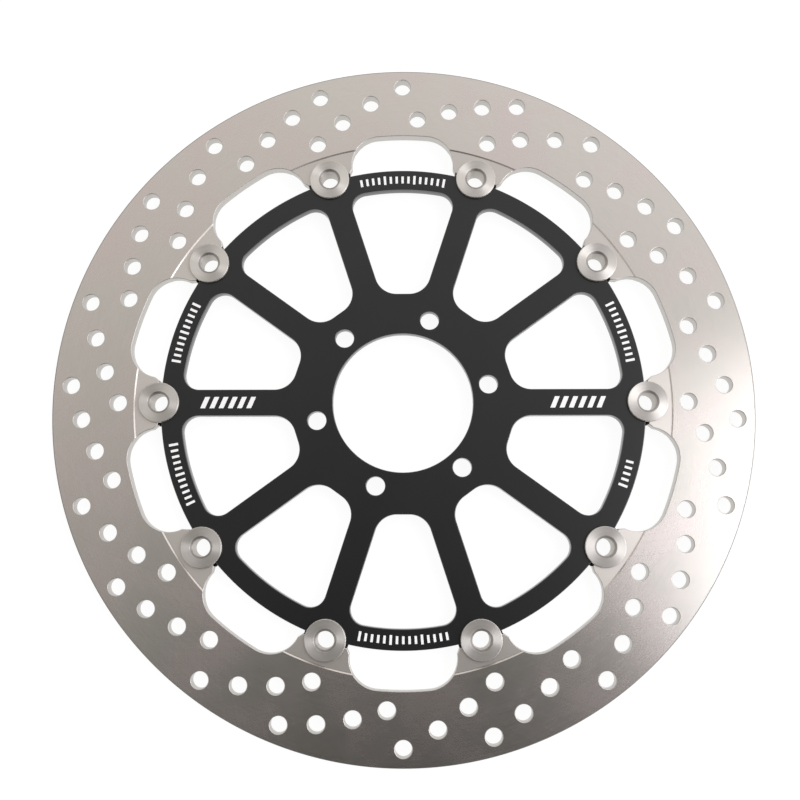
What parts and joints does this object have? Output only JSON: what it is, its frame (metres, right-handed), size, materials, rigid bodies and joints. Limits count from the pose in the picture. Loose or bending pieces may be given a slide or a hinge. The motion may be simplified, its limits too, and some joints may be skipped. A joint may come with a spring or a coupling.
{
  "type": "motorcycle brake disc",
  "caption": "Floating motorcycle brake disc: drilled steel ring held on a black spoked carrier by spring-loaded bobbins, with bolt holes round a central bore.",
  "frame": {"origin": "on the wheel's axis, in the plane of the bobbins' back ends, which is the lowest plane of the disc laid flat; the hub mounting face is 3.75 mm above it", "axes": "+Z along the wheel's axis towards the disc's outer face, the side with the bobbin heads; +X through the middle of a bobbin and its spoke; +Y completes the right-handed frame"},
  "size_m": [0.32, 0.32, 0.0103],
  "materials": {
    "ground_steel": "ground stainless steel, satin, faint circular grain",
    "black_anodised": "satin black anodised plate with lighter machined edges",
    "turned_steel": "turned, bright, fine concentric marks",
    "dark_steel": "dark oxide",
    "spring_steel": "tempered spring steel, satin"
  },
  "bodies": {
    "carrier": {"carrier": "black_anodised"},
    "ring": {"brake_rotor": "ground_steel"},
    "bobbin_01": {"bobbin_01": "turned_steel", "flat_washer_01": "dark_steel", "wave_washer_01": "spring_steel", "circlip_01": "dark_steel"},
    "bobbin_02": {"bobbin_02": "turned_steel", "flat_washer_02": "dark_steel", "wave_washer_02": "spring_steel", "circlip_02": "dark_steel"},
    "bobbin_03": {"bobbin_03": "turned_steel", "flat_washer_03": "dark_steel", "wave_washer_03": "spring_steel", "circlip_03": "dark_steel"},
    "bobbin_04": {"bobbin_04": "turned_steel", "flat_washer_04": "dark_steel", "wave_washer_04": "spring_steel", "circlip_04": "dark_steel"},
    "bobbin_05": {"bobbin_05": "turned_steel", "flat_washer_05": "dark_steel", "wave_washer_05": "spring_steel", "circlip_05": "dark_steel"},
    "bobbin_06": {"bobbin_06": "turned_steel", "flat_washer_06": "dark_steel", "wave_washer_06": "spring_steel", "circlip_06": "dark_steel"},
    "bobbin_07": {"bobbin_07": "turned_steel", "flat_washer_07": "dark_steel", "wave_washer_07": "spring_steel", "circlip_07": "dark_steel"},
    "bobbin_08": {"bobbin_08": "turned_steel", "flat_washer_08": "dark_steel", "wave_washer_08": "spring_steel", "circlip_08": "dark_steel"},
    "bobbin_09": {"bobbin_09": "turned_steel", "flat_washer_09": "dark_steel", "wave_washer_09": "spring_steel", "circlip_09": "dark_steel"},
    "bobbin_10": {"bobbin_10": "turned_steel", "flat_washer_10": "dark_steel", "wave_washer_10": "spring_steel", "circlip_10": "dark_steel"}
  },
  "joints": [
    {"name": "ring_float", "type": "slide", "parent": "carrier", "child": "ring", "axis": [0, 0, 1], "range_m": [-0.00025, 0.00025], "stiffness_N_per_m": 150000},
    {"name": "bobbin_spin_01", "type": "hinge", "parent": "carrier", "child": "bobbin_01", "pos_m": [0.1112, 0, 0.00625], "axis": [0, 0, 1], "continuous": true},
    {"name": "bobbin_spin_02", "type": "hinge", "parent": "carrier", "child": "bobbin_02", "pos_m": [0.08996, 0.06536, 0.00625], "axis": [0, 0, 1], "continuous": true},
    {"name": "bobbin_spin_03", "type": "hinge", "parent": "carrier", "child": "bobbin_03", "pos_m": [0.03436, 0.10576, 0.00625], "axis": [0, 0, 1], "continuous": true},
    {"name": "bobbin_spin_04", "type": "hinge", "parent": "carrier", "child": "bobbin_04", "pos_m": [-0.03436, 0.10576, 0.00625], "axis": [0, 0, 1], "continuous": true},
    {"name": "bobbin_spin_05", "type": "hinge", "parent": "carrier", "child": "bobbin_05", "pos_m": [-0.08996, 0.06536, 0.00625], "axis": [0, 0, 1], "continuous": true},
    {"name": "bobbin_spin_06", "type": "hinge", "parent": "carrier", "child": "bobbin_06", "pos_m": [-0.1112, 0, 0.00625], "axis": [0, 0, 1], "continuous": true},
    {"name": "bobbin_spin_07", "type": "hinge", "parent": "carrier", "child": "bobbin_07", "pos_m": [-0.08996, -0.06536, 0.00625], "axis": [0, 0, 1], "continuous": true},
    {"name": "bobbin_spin_08", "type": "hinge", "parent": "carrier", "child": "bobbin_08", "pos_m": [-0.03436, -0.10576, 0.00625], "axis": [0, 0, 1], "continuous": true},
    {"name": "bobbin_spin_09", "type": "hinge", "parent": "carrier", "child": "bobbin_09", "pos_m": [0.03436, -0.10576, 0.00625], "axis": [0, 0, 1], "continuous": true},
    {"name": "bobbin_spin_10", "type": "hinge", "parent": "carrier", "child": "bobbin_10", "pos_m": [0.08996, -0.06536, 0.00625], "axis": [0, 0, 1], "continuous": true}
  ]
}
